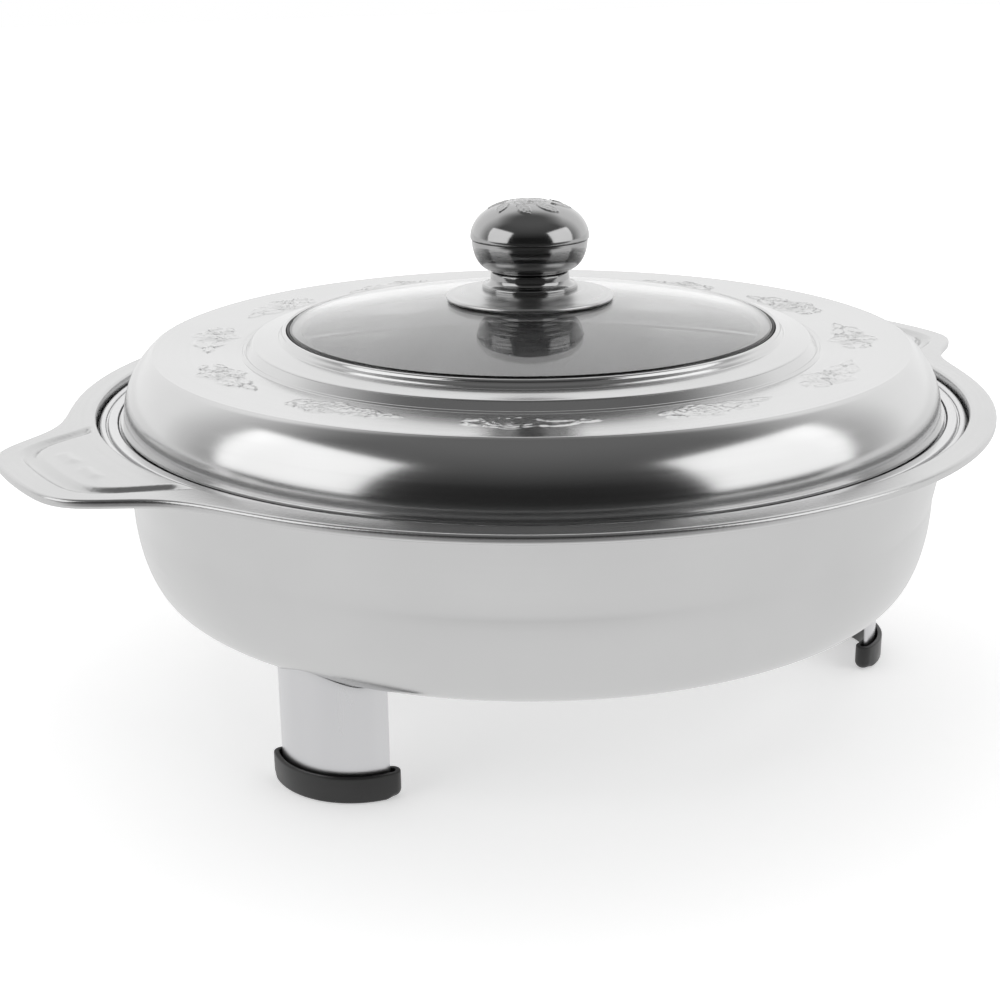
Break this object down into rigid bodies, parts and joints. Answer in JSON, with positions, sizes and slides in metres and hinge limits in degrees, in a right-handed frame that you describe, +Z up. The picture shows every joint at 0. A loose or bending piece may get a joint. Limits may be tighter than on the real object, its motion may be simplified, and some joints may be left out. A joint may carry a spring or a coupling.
{
  "type": "round buffet soup warmer",
  "caption": "Round stainless buffet soup warmer: water pan with ears on booted sheet legs, lift-out food pan and lift-off lid with a glass window and ball knob.",
  "frame": {"origin": "on the middle axis of the pans, at the floor under the boots", "axes": "+Z up; +X along the line through the two ears; +Y to the back"},
  "size_m": [0.392, 0.335, 0.1743],
  "materials": {
    "pan_steel": "satin",
    "food_pan_steel": "satin",
    "lid_steel": "polished",
    "knob_steel": "polished",
    "saucer_steel": "polished",
    "leg_steel": "satin",
    "screw_steel": "satin",
    "glass": "polished",
    "silicone": "matte",
    "core_plastic": "matte",
    "boot_rubber": "satin"
  },
  "bodies": {
    "pan": {"water_pan": "pan_steel", "front_left_leg": "leg_steel", "front_right_leg": "leg_steel", "rear_leg": "leg_steel", "front_left_boot": "boot_rubber", "front_right_boot": "boot_rubber", "rear_boot": "boot_rubber"},
    "food_pan": {"food_pan": "food_pan_steel"},
    "lid": {"lid_shell": "lid_steel", "lid_glass": "glass", "glass_gasket": "silicone", "knob_cap": "knob_steel", "knob_cup": "knob_steel", "knob_core": "core_plastic", "knob_neck": "knob_steel", "knob_saucer": "saucer_steel", "upper_seal": "silicone", "lower_seal": "silicone", "screw_washer": "screw_steel", "knob_screw": "screw_steel"}
  },
  "joints": [
    {"name": "food_pan_lift", "type": "slide", "parent": "pan", "child": "food_pan", "axis": [0, 0, 1], "range_m": [0, 0.09]},
    {"name": "lid_lift", "type": "slide", "parent": "food_pan", "child": "lid", "axis": [0, 0, 1], "range_m": [0, 0.12]}
  ]
}
